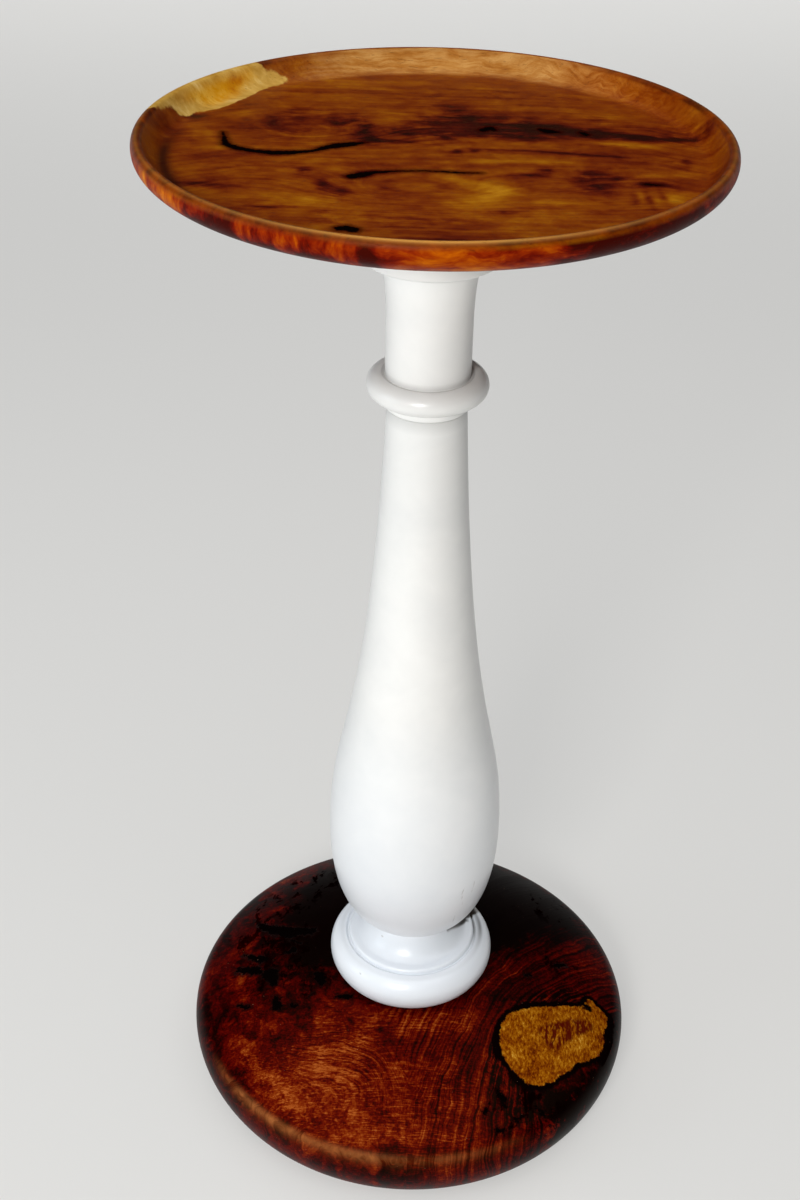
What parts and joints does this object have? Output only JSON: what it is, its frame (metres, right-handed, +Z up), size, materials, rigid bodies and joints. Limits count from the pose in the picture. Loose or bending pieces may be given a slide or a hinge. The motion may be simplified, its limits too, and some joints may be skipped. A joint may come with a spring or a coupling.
{
  "type": "tilt top table",
  "caption": "Small round pedestal table: a dished wooden top that tips upright on a hinge block, a white turned baluster column and a heavy domed wooden base.",
  "frame": {"origin": "on the floor, under the middle of the base, on the axis of the column", "axes": "+Z up along the column; -Y the front, where the catch is; +X to the right as seen from the front; the hinge line runs along X behind the column"},
  "size_m": [0.329, 0.329, 0.7],
  "materials": {
    "tray_wood": "clear varnish over figured golden-brown wood, soft gloss",
    "base_wood": "clear varnish over very dark red-brown burr wood, gloss",
    "white_paint": "white satin paint over turned wood",
    "block_wood": "plain oiled hardwood",
    "pale_wood": "bare pale hardwood",
    "brass": "satin brass",
    "steel": "bright zinc-plated steel",
    "felt": "dark green felt"
  },
  "bodies": {
    "pedestal": {"column": "white_paint", "foot_ring": "white_paint", "base_disc": "base_wood", "base_screw": "steel", "base_washer": "steel", "floor_pads": "felt", "tilt_block": "block_wood", "tenon_wedge": "pale_wood", "tenon_pin": "pale_wood", "pivot_screw_left": "brass", "pivot_screw_right": "brass", "pivot_washers": "brass", "strike_plate": "brass", "strike_screws": "brass"},
    "top": {"tray_top": "tray_wood", "batten_left": "block_wood", "batten_right": "block_wood", "batten_screws": "steel", "catch_plate": "brass", "catch_case": "brass", "catch_screws": "brass", "catch_spring": "steel"},
    "catch": {"catch_bolt": "brass", "catch_knob": "brass"}
  },
  "joints": [
    {"name": "top_tilt", "type": "hinge", "parent": "pedestal", "child": "top", "pos_m": [0, 0.034, 0.659], "axis": [-1, 0, 0], "range_deg": [0, 90]},
    {"name": "catch_pull", "type": "slide", "parent": "top", "child": "catch", "axis": [0, -1, 0], "range_m": [0, 0.0065], "stiffness_N_per_m": 400, "springref_m": -0.004, "deforming": ["catch_spring"]}
  ]
}
